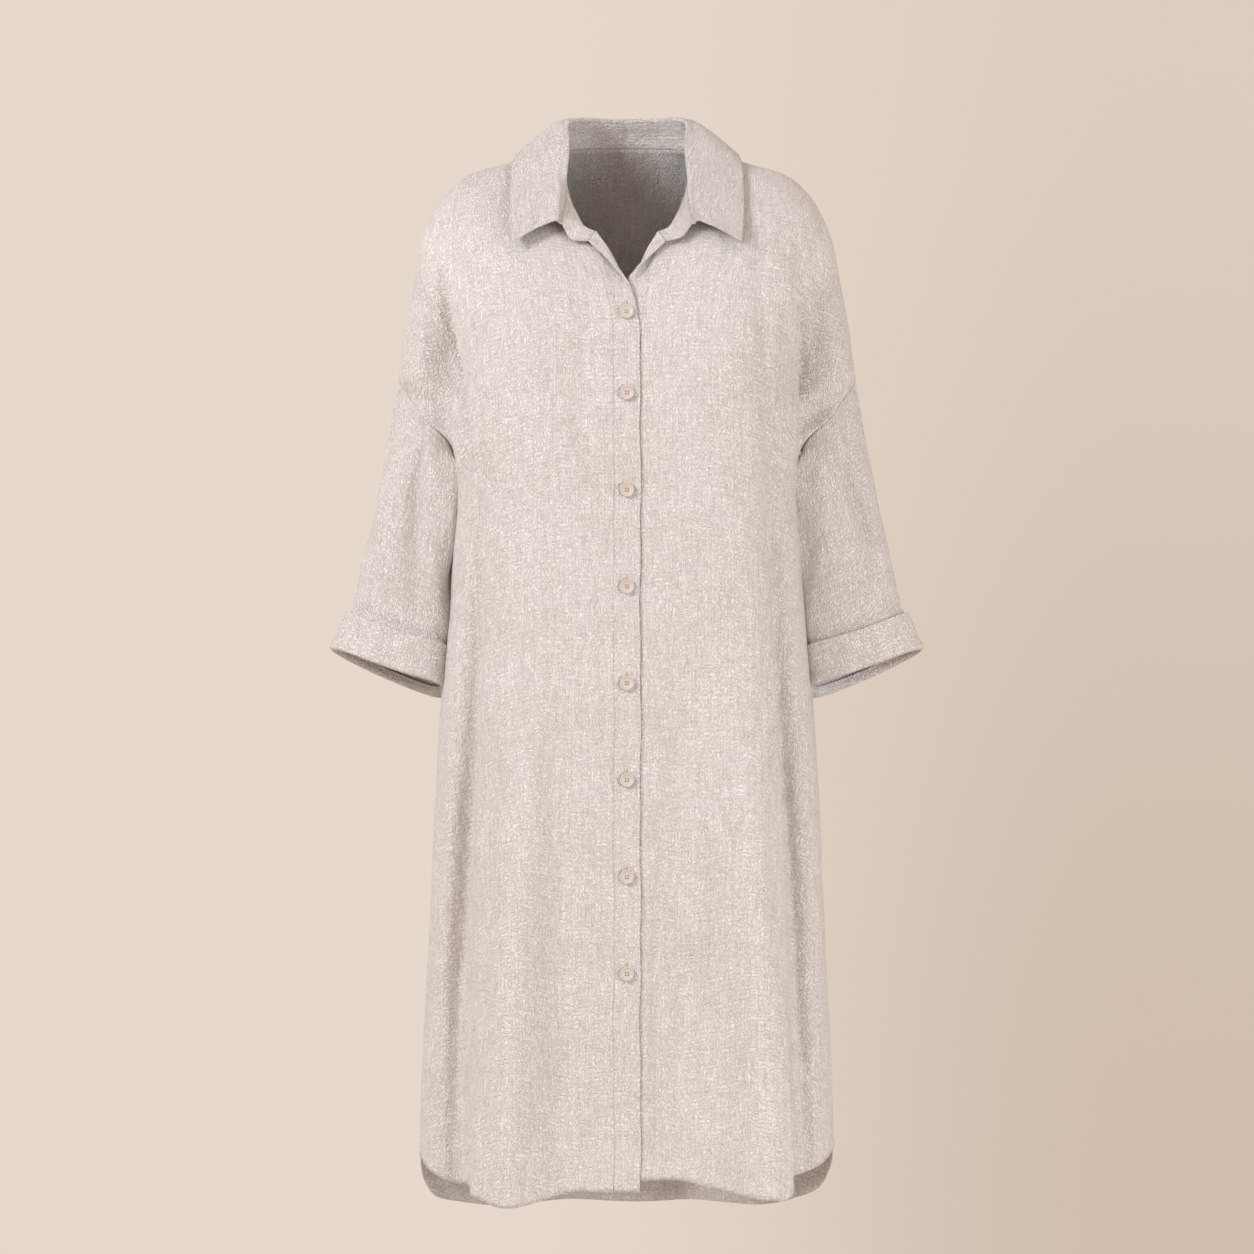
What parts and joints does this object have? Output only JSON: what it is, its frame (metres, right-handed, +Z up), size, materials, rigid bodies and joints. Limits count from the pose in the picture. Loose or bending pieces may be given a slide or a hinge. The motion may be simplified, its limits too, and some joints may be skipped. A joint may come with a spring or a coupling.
{
  "type": "long shirt",
  "caption": "Long loose shirt with a turned-down collar open at the neck, a buttoned front band, dropped sleeves with turned-up cuffs and a shirt-tail hem.",
  "frame": {"origin": "middle of the neck opening, level with the points where the shoulder seams meet the collar, where the wearer's neck and shoulders hold the shirt", "axes": "+Z up, -Y to the wearer's front, +X to the wearer's left"},
  "size_m": [0.63, 0.3022, 1.1804],
  "materials": {
    "linen": "washed, slubby plain weave, oatmeal beige, matt",
    "button": "satin resin, warm beige"
  },
  "bodies": {
    "root": {"front_right": "linen", "front_left": "linen", "back": "linen", "band_right": "linen", "band_left": "linen", "collar_stand": "linen", "collar_leaf": "linen", "sleeve_right": "linen", "sleeve_left": "linen", "cuff_right": "linen", "cuff_left": "linen", "button_1": "button", "button_2": "button", "button_3": "button", "button_4": "button", "button_5": "button", "button_6": "button", "button_7": "button", "button_8": "button"}
  },
  "joints": []
}
